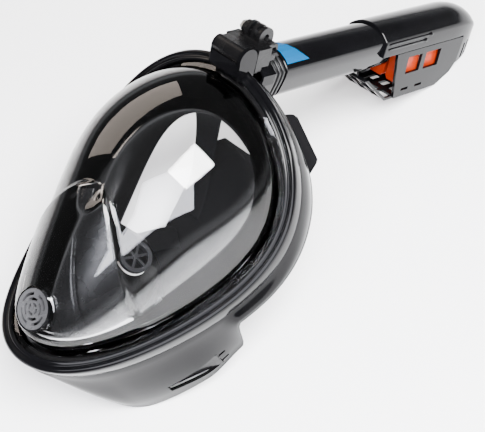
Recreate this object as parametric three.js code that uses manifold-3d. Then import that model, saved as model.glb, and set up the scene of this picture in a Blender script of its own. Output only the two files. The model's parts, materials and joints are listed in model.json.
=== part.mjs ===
// Full face snorkel: a mask with a domed lens, and a straight dry-top snorkel, at rest on a table.
// Millimetres. +Z is up, +X is the wearer's left to right, +Y runs from the chin to the snorkel's end.
import * as THREE from 'three';
import { mergeVertices } from 'three/addons/utils/BufferGeometryUtils.js';
import Module from 'manifold-3d';

const wasm = await Module();
wasm.setup();

const DEG = Math.PI / 180;

// ---- driving dimensions ----
const HALF_WIDTH = 98;            // rim, across the temples
const HALF_LENGTH = 130;          // rim, chin to forehead
const SIDE_SWEEP = 14;            // how far the rim's sides lie behind its middle
const CHIN_LIFT = 25;             // how far the chin wraps forward
const FOREHEAD_LIFT = 28;         // how far the forehead wraps forward
const SNORKEL_RAKE = 50 * DEG;    // the snorkel leans back from the lens plane
const WALL = 2.6;                 // moulded wall thickness
const GAP = 0.3;                  // clearance between touching pieces

const LENS = { thick: 2.6, flange: 10, centreY: 5, crown: 69, beakStep: 4 };
const FRAME = { chin: 13, side: 19, temple: 29, jawEdge: -66, jawFlare: 11, stepFlare: 5, ledge: 13 };
const SOCKET = { y: 143, z: -9, start: -28, end: -15 };
const TUBE = { length: 136, halfWidth: 18.5, ridge: 10, top: 19, bottom: 19, spigot: -20 };
const TOP = { start: 118, halfWidth: 20.8, floor: -46, floorEnd: 214, plate: 236 };
const HOOD = { wall: 1.4, floor: -2, round: 219, tail: 238, tailFloor: -30, end: 262, middle: -8 };
const MOUNT = { s: -19.4, n: 34.3, radius: 7.5, hole: 2.6, gap: 3.2, pitch: 6.2 };
const HINGE = { s: -44, n: 25, barrel: 6.6, cheek: 8.6, pin: 3, inner: 13.5, outer: 16.6 };

// ---- materials ----
const colours = {
  gloss: [0x0b0b0d, 0.12, 0],
  satin: [0x131316, 0.45, 0],
  clear: [0xe9eef2, 0.05, 0],
  silicone: [0x17171a, 0.6, 0],
  webbing: [0x121214, 0.9, 0],
  float: [0xff5a20, 0.35, 0],
  label: [0x28aaf0, 0.3, 0],
  steel: [0xc8c8ca, 0.25, 1],
};

function material(name) {
  const [color, roughness, metalness] = colours[name];
  const clear = name === 'clear';
  return new THREE.MeshStandardMaterial({
    color, roughness, metalness, transparent: clear, opacity: clear ? 0.3 : 1 });
}

function addMesh(parent, name, geometry, slot) {
  const mesh = new THREE.Mesh(geometry, material(slot));
  mesh.name = name;
  parent.add(mesh);
  return mesh;
}

// ---- solids ----
// A closed geometry from vertices and triangles, turned outwards if it came out inside-out.
function closedGeometry(points, triangles) {
  let volume = 0;
  for (const [a, b, c] of triangles) volume += points[a].dot(points[b].clone().cross(points[c]));
  const faces = volume < 0 ? triangles.map(([a, b, c]) => [a, c, b]) : triangles;
  const geometry = new THREE.BufferGeometry();
  geometry.setAttribute('position', new THREE.Float32BufferAttribute(points.flatMap((p) => p.toArray()), 3));
  geometry.setIndex(faces.flat());
  return geometry;
}

// Joins sections of equal length into a band; a closed band joins its last section to its first.
function bandTriangles(sectionCount, pointCount, closed) {
  const triangles = [];
  const last = closed ? sectionCount : sectionCount - 1;
  for (let i = 0; i < last; i++) {
    for (let j = 0; j < pointCount; j++) {
      const a = i * pointCount + j;
      const b = i * pointCount + (j + 1) % pointCount;
      const c = ((i + 1) % sectionCount) * pointCount + j;
      const d = ((i + 1) % sectionCount) * pointCount + (j + 1) % pointCount;
      triangles.push([a, b, c], [b, d, c]);
    }
  }
  return triangles;
}

function ringSolid(sections) {
  return closedGeometry(sections.flat(), bandTriangles(sections.length, sections[0].length, true));
}

// A loft between convex sections, capped at both ends by a fan about each end's middle.
function loftSolid(sections) {
  const count = sections[0].length;
  const points = sections.flat();
  const triangles = bandTriangles(sections.length, count, false);
  for (const [start, flip] of [[0, true], [(sections.length - 1) * count, false]]) {
    const middle = new THREE.Vector3();
    for (let j = 0; j < count; j++) middle.addScaledVector(points[start + j], 1 / count);
    points.push(middle);
    for (let j = 0; j < count; j++) {
      const pair = [start + j, start + (j + 1) % count];
      triangles.push(flip ? [points.length - 1, pair[1], pair[0]] : [points.length - 1, pair[0], pair[1]]);
    }
  }
  return closedGeometry(points, triangles);
}

function toSolid(geometry) {
  let plain = geometry.clone();
  plain.deleteAttribute('normal');
  plain.deleteAttribute('uv');
  plain = mergeVertices(plain, 1e-4);
  const mesh = new wasm.Mesh({
    numProp: 3,
    vertProperties: new Float32Array(plain.attributes.position.array),
    triVerts: new Uint32Array(plain.index.array),
  });
  return new wasm.Manifold(mesh);
}

function toGeometry(solid) {
  const { vertProperties, triVerts } = solid.getMesh();
  const geometry = new THREE.BufferGeometry();
  geometry.setAttribute('position', new THREE.BufferAttribute(new Float32Array(vertProperties), 3));
  geometry.setIndex(new THREE.BufferAttribute(new Uint32Array(triVerts), 1));
  return geometry;
}

const cut = (body, ...tools) =>
  toGeometry(tools.reduce((left, tool) => left.subtract(toSolid(tool)), toSolid(body)));
const join = (...bodies) => toGeometry(bodies.map(toSolid).reduce((left, right) => left.add(right)));
const common = (a, b) => toGeometry(toSolid(a).intersect(toSolid(b)));

function box(x0, x1, y0, y1, z0, z1) {
  const geometry = new THREE.BoxGeometry(x1 - x0, y1 - y0, z1 - z0);
  return geometry.translate((x0 + x1) / 2, (y0 + y1) / 2, (z0 + z1) / 2);
}

// A shape with its outline anticlockwise, so that its holes come out the right way round.
function shapeOf(outline, holes = []) {
  const points = outline.map(([a, b]) => new THREE.Vector2(a, b));
  const shape = new THREE.Shape(THREE.ShapeUtils.isClockWise(points) ? points.reverse() : points);
  for (const hole of holes) shape.holes.push(new THREE.Path(hole.map(([a, b]) => new THREE.Vector2(a, b))));
  return shape;
}

// An outline in the (y, z) plane, extruded across x.
function sidePlate(outline, x0, x1) {
  const geometry = new THREE.ExtrudeGeometry(shapeOf(outline), { depth: x1 - x0, bevelEnabled: false });
  return geometry.applyMatrix4(new THREE.Matrix4().set(0, 0, 1, x0, 1, 0, 0, 0, 0, 1, 0, 0, 0, 0, 0, 1));
}

// An outline in the (x, z) plane, extruded along y, with optional holes.
function lengthExtrude(outline, y0, y1, holes = []) {
  const options = { depth: y1 - y0, bevelEnabled: false };
  const geometry = new THREE.ExtrudeGeometry(shapeOf(outline, holes), options);
  return geometry.applyMatrix4(new THREE.Matrix4().set(1, 0, 0, 0, 0, 0, -1, y1, 0, 1, 0, 0, 0, 0, 0, 1));
}

// A turned body about z, from a closed or axis-to-axis list of [radius, z].
function turned(profile, segments = 28) {
  const geometry = new THREE.LatheGeometry(profile.map(([r, z]) => new THREE.Vector2(r, z)), segments);
  return geometry.rotateX(Math.PI / 2);
}

const disc = (radius, z0, z1, segments = 28) =>
  turned([[0, z0], [radius, z0], [radius, z1], [0, z1]], segments);
const washer = (inner, outer, z0, z1, segments = 28) =>
  turned([[inner, z0], [outer, z0], [outer, z1], [inner, z1], [inner, z0]], segments);

function barAcross(radius, x0, x1, y, z, segments = 20) {
  const turn = new THREE.Matrix4().makeRotationY(Math.PI / 2);
  return disc(radius, x0, x1, segments).applyMatrix4(turn).translate(0, y, z);
}

const smooth = (low, high, value) => THREE.MathUtils.smoothstep(value, low, high);

// ---- the rim curve, in the mask's own frame: x across, y chin to forehead, z out of the face ----
// turn is 0 at the chin and half a turn at the forehead.
function rimPoint(turn) {
  const taper = 1 - 0.2 * Math.cos(turn) + 0.03 * Math.cos(2 * turn) + 0.03 * Math.cos(3 * turn);
  const x = HALF_WIDTH * Math.sin(turn) * taper;
  const y = -HALF_LENGTH * Math.cos(turn);
  const lift = (y < 0 ? CHIN_LIFT : FOREHEAD_LIFT) * (y / HALF_LENGTH) ** 2;
  return new THREE.Vector3(x, y, lift - SIDE_SWEEP * (x / HALF_WIDTH) ** 2);
}

// A point beside the rim: out is the distance outwards across the rim, up the height over it.
function besideRim(turn, out, up) {
  const ahead = rimPoint(turn + 0.01);
  const behind = rimPoint(turn - 0.01);
  const along = ahead.sub(behind).setZ(0).normalize();
  const point = rimPoint(turn);
  return point.add(new THREE.Vector3(along.y * out, -along.x * out, up));
}

function turns(count) {
  return Array.from({ length: count }, (_, i) => (i / count) * 2 * Math.PI);
}

function rimRing(profileAt, count) {
  return ringSolid(turns(count).map((turn) => profileAt(turn).map(([out, up]) => besideRim(turn, out, up))));
}

// ---- lens ----
const beakHalfAngle = (reach) => (60 + 22 * (1 - reach) ** 2) * DEG;
const fromChin = (turn) => Math.abs(Math.atan2(Math.sin(turn), Math.cos(turn)));

function crownHeight(y) {
  return y < 0 ? LENS.crown + 0.16 * y : LENS.crown + 8 * (1 - (1 - Math.min(y, 90) / 90) ** 2);
}

function beakRise(reach, turn) {
  const inside = (beakHalfAngle(reach) - fromChin(turn)) * reach * 85;
  return LENS.beakStep * smooth(-4, 4, inside) * smooth(0.02, 0.2, reach) * (1 - smooth(0.93, 1, reach));
}

// reach is 0 at the crown and 1 where the dome meets its flange; sink is the depth under the surface.
function domePoint(reach, turn, sink = 0) {
  const foot = besideRim(turn, -WALL - GAP - LENS.flange, LENS.thick);
  const x = foot.x * reach;
  const y = LENS.centreY + (foot.y - LENS.centreY) * reach;
  const rise = (1 - reach ** 2.4) ** 0.75;
  const z = foot.z + (crownHeight(y) - foot.z) * rise + beakRise(reach, turn);
  const pull = 1 - (sink / 90) * reach ** 6;
  return new THREE.Vector3(x * pull, LENS.centreY + (y - LENS.centreY) * pull, z - sink);
}

function lensShell() {
  const count = 48;
  const reaches = [0.1, 0.25, 0.42, 0.58, 0.72, 0.84, 0.92, 0.97, 1];
  const edge = -WALL - GAP;
  const outer = reaches.map((reach) => turns(count).map((turn) => domePoint(reach, turn)));
  const rim = [[edge, LENS.thick], [edge, 0], [edge - LENS.flange - LENS.thick, 0]];
  const rimRows = rim.map(([out, up]) => turns(count).map((turn) => besideRim(turn, out, up)));
  const inner = reaches.slice(0, -1).reverse().map((reach) =>
    turns(count).map((turn) => domePoint(reach, turn, LENS.thick)));
  const rows = [...outer, ...rimRows, ...inner];
  const points = rows.flat();
  const triangles = bandTriangles(rows.length, count, false);
  const first = points.push(domePoint(0, 0)) - 1;
  const last = points.push(domePoint(0, 0, LENS.thick)) - 1;
  const end = (rows.length - 1) * count;
  for (let j = 0; j < count; j++) {
    triangles.push([first, (j + 1) % count, j], [last, end + j, end + (j + 1) % count]);
  }
  return closedGeometry(points, triangles);
}

// ---- drain valve, at the chin ----
const drainPlace = domePoint(0.8, 0);
const DRAIN = { radius: 14.5, bore: 12.5, tilt: 16 * DEG };

function atDrain(geometry) {
  return geometry.rotateX(DRAIN.tilt).translate(drainPlace.x, drainPlace.y, drainPlace.z);
}

// A sleeve with a ledge for the grille above and a seat for the flap below.
function drainHousing() {
  const { bore, radius } = DRAIN;
  return turned([
    [bore - 2, -9], [radius + 1.2, -9], [radius + 1.2, 1.4], [radius + GAP, 1.4], [radius + GAP, -3],
    [bore, -3], [bore, -6.3], [bore - 2, -6.3], [bore - 2, -9]]);
}

function arcSlot(inner, outer, middle, halfSpan) {
  const shape = new THREE.Shape();
  shape.absarc(0, 0, outer, middle - halfSpan, middle + halfSpan, false);
  shape.absarc(0, 0, inner, middle + halfSpan, middle - halfSpan, true);
  const geometry = new THREE.ExtrudeGeometry(shape, { depth: 8, bevelEnabled: false, curveSegments: 5 });
  return geometry.translate(0, 0, -4);
}

function drainGrille() {
  const slots = [];
  for (const [ring, inner] of [2.6, 6.2, 9.8].entries()) {
    for (let i = 0; i < 4; i++) slots.push(arcSlot(inner, inner + 1.9, (i * 90 + ring * 30) * DEG, 33 * DEG));
  }
  return cut(disc(DRAIN.radius, -2.6, 1, 32), ...slots);
}

// ---- chin cover, under the lens's beak ----
function chinCover() {
  const across = 18;
  const reaches = [0.1, 0.2, 0.32, 0.45, 0.58, 0.7, 0.8, 0.88, 0.94];
  const clearance = LENS.thick + 2.4;
  const sheet = (sink) => reaches.map((reach) => {
    const half = beakHalfAngle(reach) - 3.5 * DEG / reach ** 0.5;
    return Array.from({ length: across + 1 }, (_, i) => {
      const side = (i / across) * 2 - 1;
      const point = domePoint(reach, side * half, clearance + sink);
      return point.setZ(point.z - 7 * Math.abs(side) ** 3 * reach);
    });
  });
  const top = sheet(0);
  const bottom = sheet(2.2);
  const sections = top.map((row, i) => [...row, ...bottom[i].reverse()]);
  return cut(ringlessBand(sections), atDrain(disc(DRAIN.radius + 1.6, -30, 10)));
}

// A band of non-convex sections whose ends are closed by strips between its upper and lower rows.
function ringlessBand(sections) {
  const count = sections[0].length;
  const half = count / 2;
  const triangles = bandTriangles(sections.length, count, false);
  for (const [start, flip] of [[0, false], [(sections.length - 1) * count, true]]) {
    for (let j = 0; j < half - 1; j++) {
      const [a, b] = [start + j, start + j + 1];
      const [c, d] = [start + count - 1 - j, start + count - 2 - j];
      triangles.push(...(flip ? [[a, b, c], [b, d, c]] : [[a, c, b], [b, c, d]]));
    }
  }
  return closedGeometry(sections.flat(), triangles);
}

// ---- frame ----
function frameEdge(turn) {
  const angle = fromChin(turn) / DEG;
  const jaw = smooth(12, 38, angle) * (1 - smooth(77, 84, angle));
  const side = FRAME.chin + (FRAME.side - FRAME.chin) * smooth(0, 90, angle);
  const depth = side + (FRAME.temple - side) * smooth(90, 130, angle) * (1 - smooth(137, 150, angle));
  const edge = rimPoint(turn).z - depth;
  return edge + (FRAME.jawEdge - edge) * jaw;
}

function jawFlare(turn) {
  const angle = fromChin(turn) / DEG;
  const jaw = FRAME.jawFlare * smooth(12, 34, angle) * (1 - smooth(62, 80, angle));
  return jaw + FRAME.stepFlare * smooth(62, 84, angle) * (1 - smooth(92, 125, angle));
}

function bezelProfile() {
  return [[-9, 3.2], [-8.4, 5.4], [-2.4, 6], [0, 3.8], [0, -6], [-WALL, -6], [-WALL, 3.2]];
}

function frameProfile(turn) {
  const depth = rimPoint(turn).z - frameEdge(turn);
  const flare = jawFlare(turn);
  return [[-FRAME.ledge, -3.5], [-3, -3.5], [-3, -6.3], [0, -6.3], [flare, -depth], [flare - WALL, -depth],
    [-WALL - 0.8, -9], [-FRAME.ledge, -6.5]];
}

// The mask rests on its two jaw corners and on the far end of the float cage's floor.
function restTilt() {
  const [cos, sin] = [Math.cos(SNORKEL_RAKE), Math.sin(SNORKEL_RAKE)];
  const cageY = SOCKET.y + TOP.floorEnd * cos + TOP.floor * sin;
  const cageZ = SOCKET.z - TOP.floorEnd * sin + TOP.floor * cos;
  const slopes = turns(84).map((turn) => {
    const edge = besideRim(turn, jawFlare(turn), 0).setZ(frameEdge(turn));
    return Math.atan2(edge.z - cageZ, cageY - edge.y);
  });
  return Math.min(...slopes);
}

// The lower strap clip's pocket in the jaw wall, on the side given by sign.
const CLIP = {
  x: 80.5, y: -67, z: -52, length: 44, height: 15, lean: -10 * DEG, yaw: 26 * DEG, pitch: -4 * DEG };

function atClip(geometry, sign) {
  const turn = new THREE.Euler(CLIP.pitch, CLIP.lean, -CLIP.yaw, 'ZYX');
  const frame = new THREE.Matrix4().makeRotationFromEuler(turn);
  geometry.applyMatrix4(frame).translate(CLIP.x, CLIP.y, CLIP.z);
  return sign > 0 ? geometry : mirrored(geometry);
}

function mirrored(geometry) {
  const copy = geometry.index ? geometry.clone() : mergeVertices(geometry.clone());
  copy.scale(-1, 1, 1);
  const index = copy.index.array;
  for (let i = 0; i < index.length; i += 3) [index[i + 1], index[i + 2]] = [index[i + 2], index[i + 1]];
  return copy;
}

function clipOutline(shrink) {
  const end = CLIP.length / 2 - shrink;
  const half = CLIP.height / 2 - shrink;
  return [[-end, -half * 0.5], [end, -half], [end, half], [-end, half * 0.5]];
}

function clipPocket() {
  const notch = (z) => box(-20, 20, CLIP.length / 2 - 1, CLIP.length / 2 + 6, z - 1, z + 1);
  return join(sidePlate(clipOutline(0), -20, 20), notch(-4), notch(4));
}

function strapClip() {
  const plate = sidePlate(clipOutline(0.5), -9, -1.6);
  const tongue = box(-14, -8, -17, -9, -3, 3);
  return join(plate, tongue);
}

// ---- face seal and breathing pocket ----
function skirtProfile(turn) {
  const depth = 0.66 + 0.34 * smooth(-0.6, 0.5, Math.cos(turn));
  return [[-12.5, -7.2], [-6.5, -8.9], [-8, -12], [-12, -30 * depth], [-22, -44 * depth], [-37, -42 * depth],
    [-37, -40 * depth], [-24, -41 * depth], [-14.5, -30 * depth], [-11, -12], [-12.5, -9.4]];
}

const POCKET = { y: -48, wall: 2.2, top: 32, rows: [[-30, 31], [-8, 38], [14, 38], [26, 29], [32, 15]] };
const INHALE = { x: 26, y: -22, z: 22, radius: 12, bore: 9 };
const inhaleAxis = new THREE.Vector3(0.55, 0.5, 0.67).normalize();

function atInhale(geometry, sign) {
  const turn = new THREE.Quaternion().setFromUnitVectors(new THREE.Vector3(0, 0, 1), inhaleAxis);
  geometry.applyQuaternion(turn).translate(INHALE.x, INHALE.y, INHALE.z);
  return sign > 0 ? geometry : mirrored(geometry);
}

function breathingPocket() {
  const outer = POCKET.rows.map(([z, r]) => [r, z]);
  const inner = outer.map(([r, z]) => [r - POCKET.wall, z === POCKET.top ? z - POCKET.wall : z]).reverse();
  const shell = turned([[0, POCKET.top + 1 - POCKET.wall], ...inner, ...outer, [0, POCKET.top + 1]], 32);
  shell.translate(0, POCKET.y, 0);
  const bores = [1, -1].map((sign) => atInhale(disc(INHALE.radius + GAP, -14, 14), sign));
  return cut(shell, ...bores);
}

function inhaleSeat() {
  const spokes = [0, 60, 120].map((angle) => box(-10, 10, -0.9, 0.9, -1.2, 1).rotateZ(angle * DEG));
  return join(washer(INHALE.bore, INHALE.radius, -2, 2), ...spokes, disc(2.2, -1.2, 1.6, 16));
}

// ---- snorkel, in its own frame: y along the tube, z out of its front ridge, x across ----
function tubeOutline(grow = 0) {
  const { halfWidth, ridge, top, bottom } = TUBE;
  const half = [
    [0, top + grow], [6.5, top - 0.9 + grow], [12.5, top - 3.7 + grow],
    [halfWidth + grow, ridge + grow * 0.6], [halfWidth - 0.6 + grow, 3], [14 + grow, -12.5 - grow * 0.6],
    [8.5 + grow * 0.5, -17.2 - grow], [0, -bottom - grow]];
  const other = half.slice(1, -1).reverse().map(([x, z]) => [-x, z]);
  return [...half, ...other];
}

function tubeChannels() {
  const middle = [[-5.2, 15], [5.2, 15], [5.2, -15], [-5.2, -15]];
  const side = [[7, 13.6], [12, 12.6], [15.6, 9.2], [15.2, 3], [11.6, -11], [7, -14.2]];
  return [middle, side, side.map(([x, z]) => [-x, z]).reverse()];
}

function snorkelTube() {
  return lengthExtrude(tubeOutline(), 0, TUBE.length, tubeChannels());
}

function ribbedCollar() {
  const bore = tubeOutline(-5.5);
  let body = lengthExtrude(tubeOutline(-1.6), TUBE.spigot, -GAP, [bore]);
  for (const y of [-13.6, -9.4, -5.2]) body = join(body, lengthExtrude(tubeOutline(0.6), y, y + 2.4, [bore]));
  return body;
}

function collarSeal() {
  return lengthExtrude(tubeOutline(-0.2), TUBE.spigot + 1, TUBE.spigot + 3.5, [tubeOutline(-1.3)]);
}

function rimBlock(out, low, high) {
  const section = turns(64).map((turn) => besideRim(turn, out, 0));
  return loftSolid([section.map((p) => p.clone().setZ(low)), section.map((p) => p.clone().setZ(high))]);
}

function snorkelSocket() {
  const sleeve = lengthExtrude(tubeOutline(2.2), SOCKET.start, SOCKET.end, [tubeOutline(0.2)]);
  const overFrame = inSnorkelFrame(rimBlock(0.4, FOREHEAD_LIFT - FRAME.side - 2, 80));
  return cut(sleeve, overFrame);
}

function inSnorkelFrame(geometry) {
  return geometry.translate(0, -SOCKET.y, -SOCKET.z).rotateX(SNORKEL_RAKE);
}

// ---- dry top ----
function coverOutline(floor) {
  const half = [[0, 21], [7, 20.1], [13.5, 17.3], [TOP.halfWidth, 11.2], [TOP.halfWidth, floor]];
  return [...half, ...half.slice(1).reverse().map(([x, z]) => [-x, z])];
}

// The hood's section at a place along the tube; inset draws its hollow. Its end rounds off.
function hoodSection(y, floor, inset) {
  const bend = Math.sqrt(Math.max(0, 1 - (Math.max(0, y - HOOD.round) / (HOOD.end - HOOD.round)) ** 2.4));
  const wide = 0.55 + 0.45 * bend;
  const high = 0.35 + 0.65 * bend;
  return coverOutline(floor).map(([x, z]) => {
    const scaled = z === HOOD.floor ? z : HOOD.middle + (z - HOOD.middle) * high;
    return new THREE.Vector3(Math.sign(x) * (Math.abs(x) * wide - inset), y, scaled - inset * Math.sign(z));
  });
}

function dryTopCover() {
  const { floor, tail, tailFloor, end, wall } = HOOD;
  const skin = [[TOP.start, floor], [170, floor], [HOOD.round, floor], [tail - GAP, floor],
    [tail, tailFloor], [247, tailFloor], [254, tailFloor], [259, tailFloor], [end, tailFloor]];
  const hollow = [[TOP.start - 1, floor - 4], [170, floor - 4], [HOOD.round, floor - 4],
    [tail - 2 * GAP, floor - 4], [tail - GAP, tailFloor], [247, tailFloor], [254, tailFloor],
    [258.5, tailFloor], [260.4, tailFloor]];
  const vents = [[246, -16, 3.2], [252, -14, 3.6]].map(([y, z, width]) =>
    box(-30, 30, y - width / 2, y + width / 2, z - 9, z + 5));
  const solid = (rows, inset) => loftSolid(rows.map(([y, low]) => hoodSection(y, low, inset)));
  return cut(solid(skin, 0), solid(hollow, wall), ...vents);
}

function channelFloor() {
  return box(-17.8, 17.8, TUBE.length + 0.4, TOP.plate, -1.4, 0.6);
}

function cageOutline() {
  const end = TOP.plate + 1.5;
  return [[139, -2.4], [152, TOP.floor], [TOP.floorEnd, TOP.floor], [232, -36], [end, -27], [end, -2.4]];
}

function floatCage() {
  const floor = TOP.floor + 2.2;
  const end = TOP.plate - 1;
  const inner = [[130, -2], [152.4, floor], [213.4, floor], [230.8, -34], [end, -25.6], [end, 4]];
  const shell = cut(sidePlate(cageOutline(), -TOP.halfWidth, TOP.halfWidth), sidePlate(inner, -18.3, 18.3),
    box(-18.3, 18.3, 120, 158, floor + 0.2, 4));
  const windows = [[157, 178], [183, 206]].map(([low, high]) =>
    sidePlate([[low + 1.5, -24], [high, -24], [high - 1, -8], [low, -8]], -30, 30));
  const slots = [-12, 0, 12].flatMap((x) => [160, 182].map((y) => box(x - 3, x + 3, y, y + 14, -50, -40)));
  const sideSlots = [160, 180].map((y) => box(-30, 30, y, y + 10, -40.4, -38));
  const ports = [-9, 9].map((x) => box(x - 5, x + 5, 230, 245, -21, -7));
  const guard = frontGuard();
  return join(cut(shell, ...windows, ...slots, ...sideSlots, ...ports), guard);
}

// The open guard in front of the cage: two side rails and three cross bars that slope up to the tube.
function frontGuard() {
  const floor = TOP.floor;
  const slope = [
    [104, -20.6], [140, floor], [156, floor], [156, floor + 2.2], [141, floor + 2.2], [108, -20.6]];
  const rail = (x) => sidePlate(slope, x - 1.2, x + 1.2);
  const places = [[106.5, -21.8], [123, -33], [141, floor + 1.3]];
  const bars = places.map(([y, z]) => barAcross(1.3, -18, 18, y, z, 10));
  return join(...[-18.6, -6, 6, 18.6].map(rail), ...bars);
}

function floatBlock() {
  const half = 7.6;
  const inner = half - 2.4;
  const outline = [
    [-half, -6], [-inner, -3.6], [inner, -3.6], [half, -6],
    [half, -34], [inner, -37], [-inner, -37], [-half, -34]];
  return lengthExtrude(outline, 160, 221);
}

function floatSeal() {
  return lengthExtrude([[-6.4, -6.2], [6.4, -6.2], [6.4, -22], [-6.4, -22]], 221.3, TOP.plate - 1.4);
}

function labelPlate() {
  const corners = [
    [-15, 1.5], [15.6, 1.5], [15.6, 26], [12.6, 22.4], [8.5, 19.4], [3, 16.3], [-5, 12.5], [-15, 6]];
  const blank = new THREE.ExtrudeGeometry(shapeOf(corners), { depth: 30, bevelEnabled: false });
  return common(blank, lengthExtrude(outlineShell(0.3, 0.9), 0, 40));
}

// A thin skin over the tube's top face, between two distances from it.
function outlineShell(low, high) {
  const top = (grow) => tubeOutline(grow).filter(([, z]) => z > TUBE.ridge - 2).sort((a, b) => a[0] - b[0]);
  return [...top(high), ...top(low).reverse()];
}

// ---- camera mount: a plate over the snorkel socket, hinged at its front on a fixed dock ----
const acrossHinge = (radius, halfWidth) => barAcross(radius, -halfWidth, halfWidth, HINGE.s, HINGE.n);

function dockBody() {
  const core = [[-45, 2], [-50, 12], [-50, 22], [-36, 24.4], [-12, 24.4], [-9, 21.6], [-33, 21.6], [-33, 2]];
  const cheek = [[-45, 2], [-51, 12], [-52.5, HINGE.n], [-35.5, HINGE.n], [-36, 2]];
  const slimCheek = [[-45, 2], [-50, 12], [-50.5, HINGE.n], [-37.5, HINGE.n], [-38, 2]];
  const slim = -HINGE.inner - 1.2;
  const cheeks = [
    sidePlate(cheek, HINGE.inner, HINGE.outer),
    sidePlate(slimCheek, slim, -HINGE.inner),
    barAcross(HINGE.cheek, HINGE.inner, HINGE.outer, HINGE.s, HINGE.n, 28),
    barAcross(HINGE.barrel, slim, -HINGE.inner, HINGE.s, HINGE.n, 28)];
  const body = cut(sidePlate(core, -14, 14), acrossHinge(HINGE.barrel + 0.5, HINGE.inner));
  const overRim = inSnorkelFrame(rimBlock(GAP, -60, FOREHEAD_LIFT + 6.4));
  return cut(join(body, ...cheeks, acrossHinge(HINGE.pin, HINGE.inner + 0.2)), overRim);
}

function cameraMount() {
  const top = [
    [HINGE.s, 31.6], [-36, 31.3], [-12, 31], [-10.5, 26], [-12, 26], [-13.5, 28.6], [HINGE.s, 28.6]];
  const side = [[-34.9, 13.5], [-28.6, 13.5], [-28.6, 16.9], [-21.5, 16.9], [-21, 21], [-16.5, 20.6],
    [-16.3, 24], [-20.8, 24.6], [-21.5, 31], [-34.9, 31]];
  const wings = [sidePlate(side, 14.3, HINGE.outer), sidePlate(side, -HINGE.outer, -14.3)];
  const shoulder = box(-HINGE.outer, HINGE.outer, -34.9, -21.5, 28.6, 31);
  const prongs = barAcross(MOUNT.radius, -MOUNT.radius, MOUNT.radius, MOUNT.s, MOUNT.n, 24);
  const nutBoss = barAcross(5.8, -12, -MOUNT.radius, MOUNT.s, MOUNT.n, 20);
  const foot = box(-MOUNT.radius, MOUNT.radius, MOUNT.s - MOUNT.radius, MOUNT.s + MOUNT.radius, 29, MOUNT.n);
  const gaps = [-1, 1].map((hand) => {
    const middle = hand * MOUNT.pitch / 2;
    return box(middle - MOUNT.gap / 2, middle + MOUNT.gap / 2, MOUNT.s - 20, MOUNT.s + 20, 31.8, 60);
  });
  const hole = barAcross(MOUNT.hole, -30, 30, MOUNT.s, MOUNT.n, 16);
  const nutPocket = barAcross(4.6, -30, -9.6, MOUNT.s, MOUNT.n, 6);
  const barrel = acrossHinge(HINGE.barrel, 13.2);
  const body = join(sidePlate(top, -13.2, 13.2), shoulder, ...wings, prongs, nutBoss, foot, barrel);
  return cut(body, ...gaps, hole, nutPocket, acrossHinge(HINGE.pin + GAP, 20));
}

function mountNut() {
  return cut(barAcross(4.2, -15.8, -10, MOUNT.s, MOUNT.n, 6), barAcross(2.4, -30, 30, MOUNT.s, MOUNT.n, 12));
}

// ---- straps ----
const STRAP = { thick: 2.4, backZ: -81 };

// A flat band between two edges, each a smooth curve through its own points.
function strapBand(leftEdge, rightEdge) {
  const curve = (edge) => new THREE.CatmullRomCurve3(edge.map((place) => new THREE.Vector3(...place)));
  const left = curve(leftEdge);
  const right = curve(rightEdge);
  const count = 16;
  const sections = [];
  for (let i = 0; i <= count; i++) {
    const a = left.getPoint(i / count);
    const b = right.getPoint(i / count);
    const along = left.getTangent(i / count).add(right.getTangent(i / count));
    const half = b.clone().sub(a).cross(along).setLength(STRAP.thick / 2);
    sections.push([a.clone().sub(half), b.clone().sub(half), b.add(half), a.add(half)]);
  }
  return loftSolid(sections);
}

// From the frame's upper corner it bulges outwards, then turns back behind the head.
function upperStrap() {
  const top = [
    [38, 121.5, -2], [40.5, 127, -12], [38, 121, -27], [34, 105, -42], [30, 76, -62], [22, 44, -78],
    [16, 24, STRAP.backZ]];
  const low = [
    [70, 95, -25], [72, 109, -23], [66, 103, -36], [58, 89, -52], [50, 66, -68], [42, 40, -79],
    [36, 24, STRAP.backZ]];
  return strapBand(top, low);
}

function lowerStrap() {
  const inner = [[58, -64, -56], [50, -50, -63], [37, -30, -73], [22, -10, -80], [12, -3, STRAP.backZ]];
  const outer = [[74, -52, -56], [66, -38, -63], [53, -18, -73], [38, 2, -80], [28, 8, STRAP.backZ]];
  return strapBand(inner, outer);
}

// The broad elastic panel behind the head, under the ends of the four straps.
function headPanel() {
  const half = [[0, -44], [20, -44], [32, -22], [41, 12], [47, 40], [50, 84], [44, 91], [0, 91]];
  const outline = [...half, ...half.slice(1, -1).reverse().map(([x, y]) => [-x, y])];
  const top = STRAP.backZ - STRAP.thick / 2 - GAP;
  const sheet = new THREE.ExtrudeGeometry(shapeOf(outline), { depth: STRAP.thick, bevelEnabled: false });
  return sheet.translate(0, 0, top - STRAP.thick);
}

// ---- assembly ----
const object = new THREE.Group();
const mask = new THREE.Group();
mask.rotation.x = restTilt();
object.add(mask);

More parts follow.
